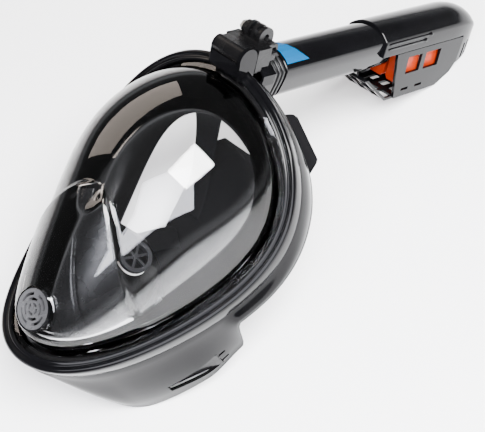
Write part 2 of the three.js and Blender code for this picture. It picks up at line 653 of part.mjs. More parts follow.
const drainBore = atDrain(disc(DRAIN.radius + 1.5, -20, 20));
addMesh(mask, 'lens', cut(lensShell(), drainBore), 'clear');
addMesh(mask, 'front_bezel', rimRing(bezelProfile, 64), 'gloss');
const gasketProfile = [[-12, -0.4], [-4, -0.4], [-4, -3.1], [-12, -3.1]];
addMesh(mask, 'lens_gasket', rimRing(() => gasketProfile, 48), 'silicone');
const pockets = [1, -1].map((sign) => atClip(clipPocket(), sign));
addMesh(mask, 'rear_frame', cut(rimRing(frameProfile, 84), ...pockets), 'gloss');
addMesh(mask, 'face_skirt', rimRing(skirtProfile, 48), 'silicone');
addMesh(mask, 'breathing_pocket', breathingPocket(), 'silicone');
addMesh(mask, 'chin_cover', chinCover(), 'gloss');
addMesh(mask, 'drain_housing', atDrain(drainHousing()), 'gloss');
addMesh(mask, 'drain_grille', atDrain(drainGrille()), 'gloss');
addMesh(mask, 'drain_flap', atDrain(disc(11.6, -6, -5.2, 24)), 'silicone');

const sides = [['left', -1], ['right', 1]];
for (const [side, sign] of sides) {
  addMesh(mask, `inhale_seat_${side}`, atInhale(inhaleSeat(), sign), 'satin');
  addMesh(mask, `inhale_flap_${side}`, atInhale(disc(10.6, -3.2, -2.4, 24), sign), 'silicone');
  addMesh(mask, `strap_clip_${side}`, atClip(strapClip(), sign), 'satin');
  const handed = (geometry) => (sign > 0 ? geometry : mirrored(geometry));
  addMesh(mask, `upper_strap_${side}`, handed(upperStrap()), 'webbing');
  addMesh(mask, `lower_strap_${side}`, handed(lowerStrap()), 'webbing');
}
addMesh(mask, 'head_panel', headPanel(), 'webbing');

const snorkel = new THREE.Group();
snorkel.position.set(0, SOCKET.y, SOCKET.z);
snorkel.rotation.x = -SNORKEL_RAKE;
mask.add(snorkel);
addMesh(snorkel, 'snorkel_socket', snorkelSocket(), 'gloss');
addMesh(snorkel, 'camera_dock', dockBody(), 'gloss');
addMesh(snorkel, 'camera_mount', cameraMount(), 'satin');
addMesh(snorkel, 'camera_nut', mountNut(), 'steel');
addMesh(snorkel, 'tube_collar', ribbedCollar(), 'satin');
addMesh(snorkel, 'collar_seal', collarSeal(), 'silicone');
addMesh(snorkel, 'snorkel_tube', snorkelTube(), 'gloss');
addMesh(snorkel, 'label_plate', labelPlate(), 'label');
addMesh(snorkel, 'dry_top_cover', dryTopCover(), 'gloss');
addMesh(snorkel, 'channel_floor', channelFloor(), 'satin');
addMesh(snorkel, 'float_cage', floatCage(), 'gloss');
for (const [side, sign] of sides) {
  addMesh(snorkel, `float_${side}`, floatBlock().translate(9 * sign, 0, 0), 'float');
  addMesh(snorkel, `float_seal_${side}`, floatSeal().translate(9 * sign, 0, 0), 'silicone');
}

// The origin is under the middle of the object, on the table.
const extent = new THREE.Box3().setFromObject(object, true);
const centre = extent.getCenter(new THREE.Vector3());
object.position.set(-centre.x, -centre.y, -extent.min.z);

export default object;
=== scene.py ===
import json
import math

import bmesh
import bpy
import numpy as np
from mathutils import Matrix, Vector


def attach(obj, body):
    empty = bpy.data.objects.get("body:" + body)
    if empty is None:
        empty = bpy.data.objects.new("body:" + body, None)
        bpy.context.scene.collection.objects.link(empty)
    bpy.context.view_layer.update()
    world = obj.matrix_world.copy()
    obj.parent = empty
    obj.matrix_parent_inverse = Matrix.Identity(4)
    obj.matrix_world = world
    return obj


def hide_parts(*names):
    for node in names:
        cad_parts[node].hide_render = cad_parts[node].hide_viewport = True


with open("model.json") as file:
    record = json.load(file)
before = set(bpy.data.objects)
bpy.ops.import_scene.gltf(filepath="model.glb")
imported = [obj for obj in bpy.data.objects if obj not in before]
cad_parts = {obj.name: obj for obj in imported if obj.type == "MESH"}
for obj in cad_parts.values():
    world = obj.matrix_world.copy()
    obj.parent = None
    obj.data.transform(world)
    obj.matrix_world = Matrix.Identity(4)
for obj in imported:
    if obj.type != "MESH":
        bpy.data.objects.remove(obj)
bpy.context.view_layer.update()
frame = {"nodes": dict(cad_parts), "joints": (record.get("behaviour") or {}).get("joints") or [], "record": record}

# ---- driving dimensions, in millimetres, in the mask's own frame ----
# x is across, y runs from the chin to the forehead, z points out of the face.
HALF_WIDTH = 98
HALF_LENGTH = 130
SIDE_SWEEP = 14
CHIN_LIFT = 25
FOREHEAD_LIFT = 28
RIM_TAPER = {"chin": 0.2, "sides": 0.03, "corners": 0.03}
WALL = 2.6
GAP = 0.3
RAKE = math.radians(50)              # the snorkel leans back from the rim's plane
SOCKET = np.array([0, 143, -9])      # where the snorkel's own frame starts
HINGE = np.array([0, -44, 25])       # the camera mount's hinge, in the snorkel's frame
LENS = {"thick": 2.6, "flange": 10, "centre": 5, "crown": 69, "bulge": 2.4, "shoulder": 0.75}
DOME_RADIUS = 85                     # about the dome's radius in plan, to turn angles into distances
BEAK = {"rise": 5, "edge": 2, "angle": 60, "spread": 22}
COVER = {"clearance": 2.4, "thick": 2.2, "from": 0.1, "to": 0.94, "droop": 7, "face": 0.3}
GROOVE = {"depth": 1.5, "width": 1.1, "step": 0.7, "spread": 0.68}
FRAME = {"chin": 13, "side": 19, "temple": 29, "jaw": -66, "flare": 11, "step": 5,
         "ledge": 13, "belly": 1.2}
# where the frame's swellings rise and fall, in degrees round the rim from the chin
JAW_SPAN = {"rises": (12, 38), "falls": (77, 84)}
FLARE_SPAN = {"rises": (12, 34), "falls": (62, 80)}
STEP_SPAN = {"rises": (62, 84), "falls": (92, 125)}
TEMPLE_SPAN = {"rises": (90, 130), "falls": (137, 150)}
TUBE_LENGTH = 136
TUBE_WALL = 2
COLLAR_RIBS = (-13.6, -9.4, -5.2)
DRAIN = {"radius": 14.5, "tilt": math.radians(16)}
CLIP = {"place": (80.5, -67, -52), "length": 44, "height": 15, "lean": -10, "yaw": 26, "pitch": -4}
HOOD = {"start": 118, "round": 219, "tail": 238, "tail_floor": -30, "end": 262, "middle": -8, "skirt": -2}
VENTS = ((246, -16, 3.2), (252, -14, 3.6))                  # place along the hood, middle height, width
RAILS = (("hood_rail_upper", 9.4, 184), ("hood_rail_lower", 5.0, 178))     # height and end of each bead
RAIL_START = 121
STRAP_THICK = 2.4
# the camera's place, and which way its picture's right and top point, in the mask's frame
CAMERA = {
    "place": (433.6, 33.3, 626.91),
    "right": (0.69433, 0.5992, -0.39858),
    "up": (-0.5089, 0.80041, 0.31679),
    "focal_length": 77.147,
    "sensor": 36,
}


# ---- frames ----
def turn_x(angle):
    c, s = math.cos(angle), math.sin(angle)
    return np.array([[1, 0, 0], [0, c, -s], [0, s, c]])


JOINTS = {joint["name"]: joint for joint in frame["joints"]}
TUBE_AXIS = JOINTS["snorkel_slide"]["axis"]
TILT = RAKE + math.atan2(TUBE_AXIS[2], TUBE_AXIS[1])
MASK_TURN = turn_x(TILT)


def from_snorkel(points):
    """Points of the snorkel's frame (x across, y along the tube, z out of its top), in the mask's frame."""
    return np.asarray(points, float) @ turn_x(-RAKE).T + SOCKET


ORIGIN = np.array(JOINTS["mount_hinge"]["pos_m"]) * 1000 - MASK_TURN @ from_snorkel(HINGE)


def to_world(points):
    return (np.asarray(points, float) @ MASK_TURN.T + ORIGIN) / 1000


# ---- small numeric helpers ----
def smooth(low, high, value):
    t = np.clip((np.asarray(value, float) - low) / (high - low), 0, 1)
    return t * t * (3 - 2 * t)


def turns(count):
    return np.linspace(0, 2 * math.pi, count, endpoint=False)


def spline(points, count):
    """A smooth open curve through the points."""
    places = np.asarray(points, float)
    knots = np.concatenate([[2 * places[0] - places[1]], places, [2 * places[-1] - places[-2]]])
    spans = len(places) - 1
    t = np.linspace(0, spans, count)
    i = np.minimum(t.astype(int), spans - 1)
    u = (t - i)[:, None]
    a, b, c, d = knots[i], knots[i + 1], knots[i + 2], knots[i + 3]
    square = 2 * a - 5 * b + 4 * c - d
    cube = 3 * b - a - 3 * c + d
    return 0.5 * (2 * b + (c - a) * u + square * u ** 2 + cube * u ** 3)


def rounded(outline, radius, steps=4):
    """A closed outline with each corner rounded; a radius may be given per corner."""
    corners = np.asarray(outline, float)
    radii = np.broadcast_to(radius, len(corners))
    points = []
    for i, corner in enumerate(corners):
        before = corners[i - 1] - corner
        after = corners[(i + 1) % len(corners)] - corner
        reach = min(radii[i], 0.45 * np.linalg.norm(before), 0.45 * np.linalg.norm(after))
        start = corner + before / np.linalg.norm(before) * reach
        end = corner + after / np.linalg.norm(after) * reach
        for u in np.linspace(0, 1, steps + 1):
            points.append((1 - u) ** 2 * start + 2 * u * (1 - u) * corner + u ** 2 * end)
    return np.array(points)


# ---- the rim curve: turn is 0 at the chin and half a turn at the forehead ----
def rim(turn):
    taper = 1 - RIM_TAPER["chin"] * np.cos(turn)
    taper = taper + RIM_TAPER["sides"] * np.cos(2 * turn) + RIM_TAPER["corners"] * np.cos(3 * turn)
    x = HALF_WIDTH * np.sin(turn) * taper
    y = -HALF_LENGTH * np.cos(turn)
    lift = np.where(y < 0, CHIN_LIFT, FOREHEAD_LIFT) * (y / HALF_LENGTH) ** 2
    return np.stack([x, y, lift - SIDE_SWEEP * (x / HALF_WIDTH) ** 2], -1)


def beside_rim(turn, out, up):
    """Points moved away from the rim curve, square to it in plan (out) and along z (up)."""
    along = rim(turn + 0.01) - rim(turn - 0.01)
    along = along / np.hypot(along[..., 0], along[..., 1])[..., None]
    shift = np.stack([along[..., 1] * out, -along[..., 0] * out, np.broadcast_to(up, np.shape(turn))], -1)
    return rim(turn) + shift


def from_chin(turn):
    return np.abs(np.arctan2(np.sin(turn), np.cos(turn)))


# ---- mesh building ----
SLOTS = {part["node"]: part["material_slot"] for part in frame["record"]["subparts"]}


def add_piece(name, points, faces, material, body, node=None, smooth_angle=40):
    mesh = bpy.data.meshes.new(name)
    mesh.from_pydata(to_world(points).tolist(), [], faces)
    mesh.validate()
    mesh.polygons.foreach_set("use_smooth", [True] * len(mesh.polygons))
    piece = bpy.data.objects.new(name, mesh)
    bpy.context.scene.collection.objects.link(piece)
    mesh.materials.append(material)
    make_outward(mesh)
    mesh.set_sharp_from_angle(angle=math.radians(smooth_angle))
    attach(piece, body)
    if node:
        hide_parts(node)
    return piece


def make_outward(mesh):
    shape = bmesh.new()
    shape.from_mesh(mesh)
    bmesh.ops.recalc_face_normals(shape, faces=shape.faces)
    shape.to_mesh(mesh)
    shape.free()


def band_faces(row_count, count, joined):
    """Quads between neighbouring closed rows of points; joined also ties the last row to the first."""
    faces = []
    for i in range(row_count if joined else row_count - 1):
        row, next_row = i * count, (i + 1) % row_count * count
        for j in range(count):
            k = (j + 1) % count
            faces.append((row + j, row + k, next_row + k, next_row + j))
    return faces


def rim_ring(name, profile_at, count, material, body="mask", node=None, smooth_angle=40):
    """A ring swept round the rim; profile_at(turn) gives a closed outline of (out, up)."""
    rows = []
    for turn in turns(count):
        profile = np.asarray(profile_at(turn), float)
        rows.append(beside_rim(np.full(len(profile), turn), profile[:, 0], profile[:, 1]))
    rows = np.array(rows)
    faces = band_faces(count, rows.shape[1], True)
    return add_piece(name, rows.reshape(-1, 3), faces, material, body, node, smooth_angle)


def loft(name, rows, material, body, node=None, smooth_angle=40):
    """A tube of closed sections, with flat ends."""
    rows = np.asarray(rows, float)
    count = rows.shape[1]
    faces = band_faces(len(rows), count, False)
    faces.append(tuple(range(count)))
    faces.append(tuple(range((len(rows) - 1) * count, len(rows) * count)))
    return add_piece(name, rows.reshape(-1, 3), faces, material, body, node, smooth_angle)


def carve(piece, cutters):
    """Cuts closed shapes, given as (points in the mask's frame, faces), out of a piece's own mesh."""
    for i, (points, faces) in enumerate(cutters):
        mesh = bpy.data.meshes.new(f"{piece.name}_cut{i}")
        mesh.from_pydata(to_world(points).tolist(), [], faces)
        make_outward(mesh)
        cutter = bpy.data.objects.new(mesh.name, mesh)
        bpy.context.scene.collection.objects.link(cutter)
        modifier = piece.modifiers.new("cut", "BOOLEAN")
        modifier.operation = "DIFFERENCE"
        modifier.solver = "EXACT"
        modifier.object = cutter
        bpy.context.view_layer.update()
        carved = bpy.data.meshes.new_from_object(piece.evaluated_get(bpy.context.evaluated_depsgraph_get()))
        piece.modifiers.remove(modifier)
        piece.data = carved
        bpy.data.objects.remove(cutter)
        carved.set_sharp_from_angle(angle=math.radians(35))


def prism(outline, low, high):
    """A closed shape between two copies of an outline of (a, b), as rows of (a, b, low or high)."""
    count = len(outline)
    points = [(a, b, level) for level in (low, high) for a, b in outline]
    faces = band_faces(2, count, False) + [tuple(range(count)), tuple(range(count, 2 * count))]
    return np.array(points, float), faces


def circle(radius, count=64):
    return [(radius * math.cos(turn), radius * math.sin(turn)) for turn in turns(count)]


# ---- materials ----
def new_material(name):
    material = bpy.data.materials.new(name)
    material.use_nodes = True
    nodes = material.node_tree.nodes
    return material, nodes, material.node_tree.links, nodes["Principled BSDF"]


def noise(nodes, links, scale, detail=6.0, stretch=(1, 1, 1)):
    place = nodes.new("ShaderNodeTexCoord")
    mapping = nodes.new("ShaderNodeMapping")
    mapping.inputs["Scale"].default_value = stretch
    texture = nodes.new("ShaderNodeTexNoise")
    texture.inputs["Scale"].default_value = scale
    texture.inputs["Detail"].default_value = detail
    links.new(place.outputs["Object"], mapping.inputs["Vector"])
    links.new(mapping.outputs["Vector"], texture.inputs["Vector"])
    return texture


def ramp(nodes, links, source, low, high):
    node = nodes.new("ShaderNodeMapRange")
    node.inputs["From Min"].default_value = 0.3
    node.inputs["From Max"].default_value = 0.7
    node.inputs["To Min"].default_value = low
    node.inputs["To Max"].default_value = high
    links.new(source, node.inputs["Value"])
    return node.outputs["Result"]


def colour_ramp(nodes, links, source, low, high):
    node = nodes.new("ShaderNodeValToRGB")
    node.color_ramp.elements[0].position = 0.3
    node.color_ramp.elements[0].color = (*low, 1)
    node.color_ramp.elements[1].position = 0.7
    node.color_ramp.elements[1].color = (*high, 1)
    links.new(source, node.inputs["Fac"])
    return node.outputs["Color"]


def bump(nodes, links, shader, source, strength, distance):
    node = nodes.new("ShaderNodeBump")
    node.inputs["Strength"].default_value = strength
    node.inputs["Distance"].default_value = distance
    links.new(source, node.inputs["Height"])
    links.new(node.outputs["Normal"], shader.inputs["Normal"])


def plastic(name, low, high, roughness, grain=900, grain_depth=0.00002, mirror=0.5):
    """Moulded plastic or silicone: faint colour variation, gloss smeared by handling and a fine grain."""
    material, nodes, links, shader = new_material(name)
    cloud = noise(nodes, links, 38)
    links.new(colour_ramp(nodes, links, cloud.outputs["Fac"], low, high), shader.inputs["Base Color"])
    smear = noise(nodes, links, 120, 4, (1, 0.25, 1))
    links.new(ramp(nodes, links, smear.outputs["Fac"], *roughness), shader.inputs["Roughness"])
    fine = noise(nodes, links, grain, 3)
    bump(nodes, links, shader, fine.outputs["Fac"], 0.06, grain_depth)
    shader.inputs["Specular IOR Level"].default_value = mirror
    return material


def clear_plastic(name):
    """Clear polycarbonate as a thin sheet: what is behind shows through, and the surface mirrors softly."""
    material = bpy.data.materials.new(name)
    material.use_nodes = True
    nodes, links = material.node_tree.nodes, material.node_tree.links
    nodes.remove(nodes["Principled BSDF"])
    gloss = nodes.new("ShaderNodeBsdfGlossy")
    through = nodes.new("ShaderNodeBsdfTransparent")
    through.inputs["Color"].default_value = (0.955, 0.957, 0.965, 1)
    fresnel = nodes.new("ShaderNodeFresnel")
    fresnel.inputs["IOR"].default_value = 1.6
    mix = nodes.new("ShaderNodeMixShader")
    smear = noise(nodes, links, 60, 4)
    links.new(ramp(nodes, links, smear.outputs["Fac"], 0.008, 0.03), gloss.inputs["Roughness"])
    links.new(fresnel.outputs["Fac"], mix.inputs["Fac"])
    links.new(through.outputs["BSDF"], mix.inputs[1])
    links.new(gloss.outputs["BSDF"], mix.inputs[2])
    links.new(mix.outputs["Shader"], nodes["Material Output"].inputs["Surface"])
    wave = noise(nodes, links, 14, 2)
    bump(nodes, links, gloss, wave.outputs["Fac"], 0.04, 0.0006)
    return material


def webbing(name):
    """Woven elastic: fine crossing threads, almost without gloss."""
    material, nodes, links, shader = new_material(name)
    place = nodes.new("ShaderNodeTexCoord")
    heights = []
    for direction in ("X", "Y"):
        wave = nodes.new("ShaderNodeTexWave")
        wave.bands_direction = direction
        wave.inputs["Scale"].default_value = 420
        wave.inputs["Distortion"].default_value = 1.2
        links.new(place.outputs["Object"], wave.inputs["Vector"])
        heights.append(wave.outputs["Fac"])
    weave = nodes.new("ShaderNodeMath")
    weave.operation = "MULTIPLY"
    links.new(heights[0], weave.inputs[0])
    links.new(heights[1], weave.inputs[1])
    fuzz = noise(nodes, links, 300, 4)
    shade = colour_ramp(nodes, links, fuzz.outputs["Fac"], (0.0014, 0.0014, 0.0016), (0.003, 0.003, 0.0034))
    links.new(shade, shader.inputs["Base Color"])
    links.new(ramp(nodes, links, fuzz.outputs["Fac"], 0.72, 0.9), shader.inputs["Roughness"])
    shader.inputs["Specular IOR Level"].default_value = 0.06
    bump(nodes, links, shader, weave.outputs["Value"], 0.5, 0.00025)
    return material


def metal(name):
    """Plated steel, brushed along one direction."""
    material, nodes, links, shader = new_material(name)
    shader.inputs["Metallic"].default_value = 1
    brushed = noise(nodes, links, 500, 4, (1, 0.1, 1))
    shade = colour_ramp(nodes, links, brushed.outputs["Fac"], (0.55, 0.55, 0.53), (0.78, 0.77, 0.74))
    links.new(shade, shader.inputs["Base Color"])
    links.new(ramp(nodes, links, brushed.outputs["Fac"], 0.2, 0.36), shader.inputs["Roughness"])
    bump(nodes, links, shader, brushed.outputs["Fac"], 0.15, 0.00005)
    return material


# ---- the materials themselves ----
BLACK = (0.0012, 0.0012, 0.0014)
SOFT_BLACK = (0.0032, 0.0031, 0.0032)
GLOSS = plastic("gloss_black_plastic", BLACK, (0.0022, 0.0022, 0.0026), (0.06, 0.12), mirror=0.12)
WALL_GLOSS = plastic("wall_black_plastic", BLACK, (0.0026, 0.0026, 0.0028), (0.09, 0.15), mirror=0.14)
SATIN = plastic("satin_black_plastic", BLACK, SOFT_BLACK, (0.2, 0.3), 1400, 0.00004, mirror=0.2)
COLLAR_BLACK = plastic("collar_black_plastic", (0.005, 0.005, 0.0055), (0.009, 0.009, 0.0095), (0.3, 0.42),
                       1400, 0.00004, mirror=0.16)
RUBBER = plastic("black_silicone", (0.0018, 0.0016, 0.0015), SOFT_BLACK, (0.28, 0.4), 700, mirror=0.06)
CLEAR = clear_plastic("clear_polycarbonate")
STRAP_CLOTH = webbing("woven_elastic")
ORANGE = plastic("orange_float_plastic", (0.24, 0.014, 0.001), (0.32, 0.024, 0.002), (0.3, 0.42), mirror=0.15)
BLUE = plastic("blue_film", (0.0, 0.05, 0.13), (0.0, 0.06, 0.16), (0.3, 0.4), mirror=0.02)
COVER_BLACK = plastic("cover_black_plastic", BLACK, SOFT_BLACK, (0.24, 0.3), mirror=0.5)
VALVE_GREY = plastic("valve_grey_plastic", (0.01, 0.01, 0.011), (0.018, 0.018, 0.02), (0.3, 0.42))
DRAIN_GREY = plastic("drain_grey_plastic", (0.03, 0.03, 0.032), (0.055, 0.055, 0.058), (0.22, 0.32))
STEEL = metal("plated_steel")
# black_webbing also dresses the CAD's strap panel behind the face opening. The straps' black is their own, but the
# panel is a black sheet set where there is only the shade inside the mask: painted shade.
BY_SLOT = {"clear_lens": CLEAR, "gloss_black": GLOSS, "satin_black": SATIN, "black_silicone": RUBBER,
           "black_webbing": STRAP_CLOTH, "orange_float": ORANGE, "blue_label": BLUE, "steel": STEEL}
OWN_MATERIAL = {"drain_grille": DRAIN_GREY, "inhale_seat_left": VALVE_GREY, "inhale_seat_right": VALVE_GREY}


# ---- camera ----
def add_camera():
    data = bpy.data.cameras.new("camera")
    data.lens = CAMERA["focal_length"]
    data.sensor_width = CAMERA["sensor"]
    camera = bpy.data.objects.new("camera", data)
    bpy.context.scene.collection.objects.link(camera)
    right = MASK_TURN @ np.array(CAMERA["right"])
    up = MASK_TURN @ np.array(CAMERA["up"])
    turn = Matrix([right, up, np.cross(right, up)]).transposed()
    camera.matrix_world = Matrix.Translation(Vector(to_world(CAMERA["place"]))) @ turn.to_4x4()
    bpy.context.scene.camera = camera


add_camera()


# ---- lens ----
def beak_half_angle(reach):
    """The beak covers this much of the rim to each side of the chin."""
    return np.radians(BEAK["angle"] + BEAK["spread"] * (1 - reach) ** 2)


def crown_height(y):
    rise = 8 * (1 - (1 - np.minimum(y, 90) / 90) ** 2)
    return LENS["crown"] + np.where(y < 0, 0.16 * y, rise)


def beak_rise(reach, turn):
    inside = (beak_half_angle(reach) - from_chin(turn)) * reach * DOME_RADIUS
    fade = smooth(0.02, 0.2, reach) * (1 - smooth(0.93, 1, reach))
    return BEAK["rise"] * smooth(-BEAK["edge"], BEAK["edge"], inside) * fade


def dome(reach, turn, sink=0.0):
    """reach is 0 at the crown and 1 where the dome meets its flange; sink is the depth under the surface."""
    reach, turn = np.broadcast_arrays(np.asarray(reach, float), np.asarray(turn, float))
    foot = beside_rim(turn, -WALL - GAP - LENS["flange"], LENS["thick"])
    x = foot[..., 0] * reach
    y = LENS["centre"] + (foot[..., 1] - LENS["centre"]) * reach
    rise = np.maximum(1 - reach ** LENS["bulge"], 0) ** LENS["shoulder"]
    z = foot[..., 2] + (crown_height(y) - foot[..., 2]) * rise + beak_rise(reach, turn)
    pull = 1 - (sink / 90) * reach ** 6
    return np.stack([x * pull, LENS["centre"] + (y - LENS["centre"]) * pull, z - sink], -1)


def lens_shell():
    """The dome's outer skin, its grooved flange and its inner skin, as one closed shell."""
    count = 288
    around = turns(count)
    reaches = 1 - (1 - np.linspace(0.02, 1, 72)) ** 1.6
    edge = -WALL - GAP
    flange_foot = edge - LENS["flange"]
    rows = [dome(np.full(count, reach), around) for reach in reaches]
    top, groove = LENS["thick"], LENS["thick"] - 0.5
    flange = [(flange_foot + 1.2, top + 0.1), (edge - 5.2, top), (edge - 5, groove), (edge - 4.4, groove),
              (edge - 4.2, top), (edge - 0.3, top), (edge, top - 0.3), (edge, 0.3), (edge - 0.3, 0),
              (flange_foot - LENS["thick"], 0)]
    rows += [beside_rim(around, np.full(count, out), up) for out, up in flange]
    rows += [dome(np.full(count, reach), around, LENS["thick"]) for reach in reaches[::-1][1:]]
    points = np.concatenate(rows)
    faces = band_faces(len(rows), count, False)
    outer_crown, inner_crown = len(points), len(points) + 1
    points = np.concatenate([points, dome(0.0, 0.0)[None], dome(0.0, 0.0, LENS["thick"])[None]])
    end = (len(rows) - 1) * count
    for j in range(count):
        faces.append((outer_crown, (j + 1) % count, j))
        faces.append((inner_crown, end + j, end + (j + 1) % count))
    return add_piece("lens_shell", points, faces, CLEAR, "mask", "lens", 30)


def drill_drain(piece, extra):
    """Opens a hole for the drain outlet, a little wider than the outlet itself."""
    points, faces = prism(circle(DRAIN["radius"] + extra), -34, 20)
    carve(piece, [(points @ turn_x(DRAIN["tilt"]).T + dome(0.8, 0.0), faces)])


drill_drain(lens_shell(), 1.5)


# ---- chin cover ----
def chin_cover():
    """The black cover under the lens's raised beak, with a shallow groove drawn round its face."""
    reaches = np.linspace(COVER["from"], COVER["to"], 100)[:, None]
    sides = np.linspace(-1, 1, 141)[None, :]
    half = beak_half_angle(reaches) - math.radians(3.5) / np.sqrt(reaches)
    down = np.maximum(reaches - COVER["face"], 0) / (COVER["to"] - COVER["face"])
    contour = GROOVE["spread"] * down ** 0.5
    beside = (np.abs(sides) - contour) * half * reaches * DOME_RADIUS
    above = np.maximum(COVER["face"] - reaches, 0) * DOME_RADIUS
    groove = GROOVE["depth"] * np.exp(-(beside ** 2 + above ** 2) / GROOVE["width"] ** 2)
    outside = GROOVE["step"] * smooth(-1, 1, np.where(reaches < COVER["face"], above + 1, beside))
    rows = []
    for sink in (0, COVER["thick"]):
        points = dome(reaches, sides * half, LENS["thick"] + COVER["clearance"] + sink)
        points[..., 2] -= COVER["droop"] * np.abs(sides) ** 3 * reaches + (0 if sink else groove + outside)
        rows.append(points)
    sections = np.concatenate([rows[0], rows[1][:, ::-1]], 1)
    count = sections.shape[1]
    faces = band_faces(len(sections), count, False)
    for start in (0, (len(sections) - 1) * count):
        for j in range(count // 2 - 1):
            faces.append((start + j, start + j + 1, start + count - 2 - j, start + count - 1 - j))
    piece = add_piece("cover_shell", sections.reshape(-1, 3), faces, COVER_BLACK, "mask", "chin_cover", 50)
    drill_drain(piece, 1.6)


chin_cover()


# ---- bezel, frame and skirt ----
def swell(span, angle):
    """Rises from 0 to 1 and falls back to 0 over two stretches of the rim, in degrees from the chin."""
    return smooth(*span["rises"], angle) * (1 - smooth(*span["falls"], angle))


def bezel_profile(_turn):
    """Two soft beads with a groove between them, and the wall that reaches down over the frame."""
    corners = [(-9, 2.9), (-8.8, 5.2), (-7.6, 5.9), (-6.2, 5.2), (-5.6, 4.5), (-4.6, 4.5), (-4.0, 5.4),
               (-2.2, 6.0), (-0.4, 4.6), (0, 2.8), (0, -6), (-WALL, -6), (-WALL, 2.9)]
    return rounded(corners, 0.5, 3)


def frame_edge(turn):
    """The height of the frame's free edge: deepest at the jaw corners, deep at the temples."""
    angle = np.degrees(from_chin(turn))
    side = FRAME["chin"] + (FRAME["side"] - FRAME["chin"]) * smooth(0, 90, angle)
    depth = side + (FRAME["temple"] - side) * swell(TEMPLE_SPAN, angle)
    edge = rim(turn)[2] - depth
    return edge + (FRAME["jaw"] - edge) * swell(JAW_SPAN, angle)


def jaw_flare(turn):
    angle = np.degrees(from_chin(turn))
    return FRAME["flare"] * swell(FLARE_SPAN, angle) + FRAME["step"] * swell(STEP_SPAN, angle)


def frame_profile(turn):
    """The wall's bellied section with its rounded lip, and the ledge that the lens sits on."""
    depth = rim(turn)[2] - frame_edge(turn)
    flare = jaw_flare(turn)

    def belly_at(u):
        return flare * smooth(0, 1, u) + FRAME["belly"] * math.sin(math.pi * u)

    belly = [(belly_at(u), -7 - (depth - 8.5) * u) for u in np.linspace(0, 1, 9)]
    inner = [(belly_at(u) - WALL, -9 - (depth - 9.6) * u) for u in np.linspace(1, 0, 6)]
    lip = [(flare + 0.2, -depth + 0.4), (flare - 0.5, -depth), (flare - WALL + 0.6, -depth)]
    seat = [(-FRAME["ledge"], -3.5), (-3, -3.5), (-3, -6.3), (-0.3, -6.3)]
    return [*seat, *belly, *lip, *inner, (-FRAME["ledge"], -6.5)]


def skirt_profile(turn):
    """A soft wall that folds inward to the lip against the face, shallower over the forehead."""
    depth = 0.66 + 0.34 * smooth(-0.6, 0.5, math.cos(turn))
    corners = [(-12.5, -7.2), (-6.5, -8.9), (-8, -12), (-12, -30 * depth), (-22, -44 * depth),
               (-37, -42 * depth), (-37, -40 * depth), (-24, -41 * depth), (-14.5, -30 * depth), (-11, -12),
               (-12.5, -9.4)]
    return rounded(corners, 5, 5)


def at_clip(cutter, sign):
    """Points of the strap clip's own frame (x out of the wall, y along it, z up it), in the mask's frame."""
    points, faces = cutter
    yaw, lean, pitch = (math.radians(CLIP[key]) for key in ("yaw", "lean", "pitch"))
    turn = Matrix.Rotation(-yaw, 3, "Z") @ Matrix.Rotation(lean, 3, "Y") @ Matrix.Rotation(pitch, 3, "X")
    return (points @ np.array(turn).T + CLIP["place"]) * [sign, 1, 1], faces


def clip_cutters():
    """The clip's tapered recess and the two short slots beyond its wide end."""
    end, half = CLIP["length"] / 2, CLIP["height"] / 2
    outlines = [[(-end, -half * 0.5), (end, -half), (end, half), (-end, half * 0.5)]]
    for height in (-4, 4):
        low, high = height - 1, height + 1
        outlines.append([(end - 1, low), (end + 6, low), (end + 6, high), (end - 1, high)])
    cutters = []
    for outline in outlines:
        points, faces = prism(outline, -20, 20)
        cutters.append((points[:, [2, 0, 1]], faces))
    return cutters


rim_ring("bezel_ring", bezel_profile, 240, GLOSS, node="front_bezel", smooth_angle=60)
wall = rim_ring("frame_wall", frame_profile, 288, WALL_GLOSS, node="rear_frame", smooth_angle=35)
carve(wall, [at_clip(cutter, sign) for sign in (1, -1) for cutter in clip_cutters()])
rim_ring("skirt_ring", skirt_profile, 200, RUBBER, node="face_skirt", smooth_angle=60)


# ---- straps ----
def strap(name, left, right, node, sign):
    """A flat band with rounded edges between two edge curves."""
    count = 60
    a, b = spline(left, count), spline(right, count)
    along = np.gradient((a + b) / 2, axis=0)
    face = np.cross(b - a, along)
    face /= np.linalg.norm(face, axis=1)[:, None]
    across = np.linspace(0, 1, 22)
    half_thick = STRAP_THICK / 2 * np.minimum(1, (np.minimum(across, 1 - across) / 0.05) ** 0.5)
    rows = []
    for i in range(count):
        middle = a[i] + (b[i] - a[i]) * across[:, None]
        swelling = face[i] * half_thick[:, None]
        rows.append(np.concatenate([middle + swelling, (middle - swelling)[::-1][1:-1]]))
    rows = np.array(rows) * [sign, 1, 1]
    return loft(name, rows, STRAP_CLOTH, "mask", node, 50)


UPPER_TOP = [(38, 121.5, -2), (40.5, 127, -12), (38, 121, -27), (34, 105, -42), (30, 76, -62), (22, 44, -78),
             (16, 24, -81)]
UPPER_LOW = [(70, 95, -25), (72, 109, -23), (66, 103, -36), (58, 89, -52), (50, 66, -68), (42, 40, -79),
             (36, 24, -81)]
LOWER_IN = [(58, -64, -56), (50, -50, -63), (37, -30, -73), (22, -10, -80), (12, -3, -81)]
LOWER_OUT = [(74, -52, -56), (66, -38, -63), (53, -18, -73), (38, 2, -80), (28, 8, -81)]
for side, sign in (("left", -1), ("right", 1)):
    strap(f"upper_band_{side}", UPPER_TOP, UPPER_LOW, f"upper_strap_{side}", sign)
    strap(f"lower_band_{side}", LOWER_IN, LOWER_OUT, f"lower_strap_{side}", sign)


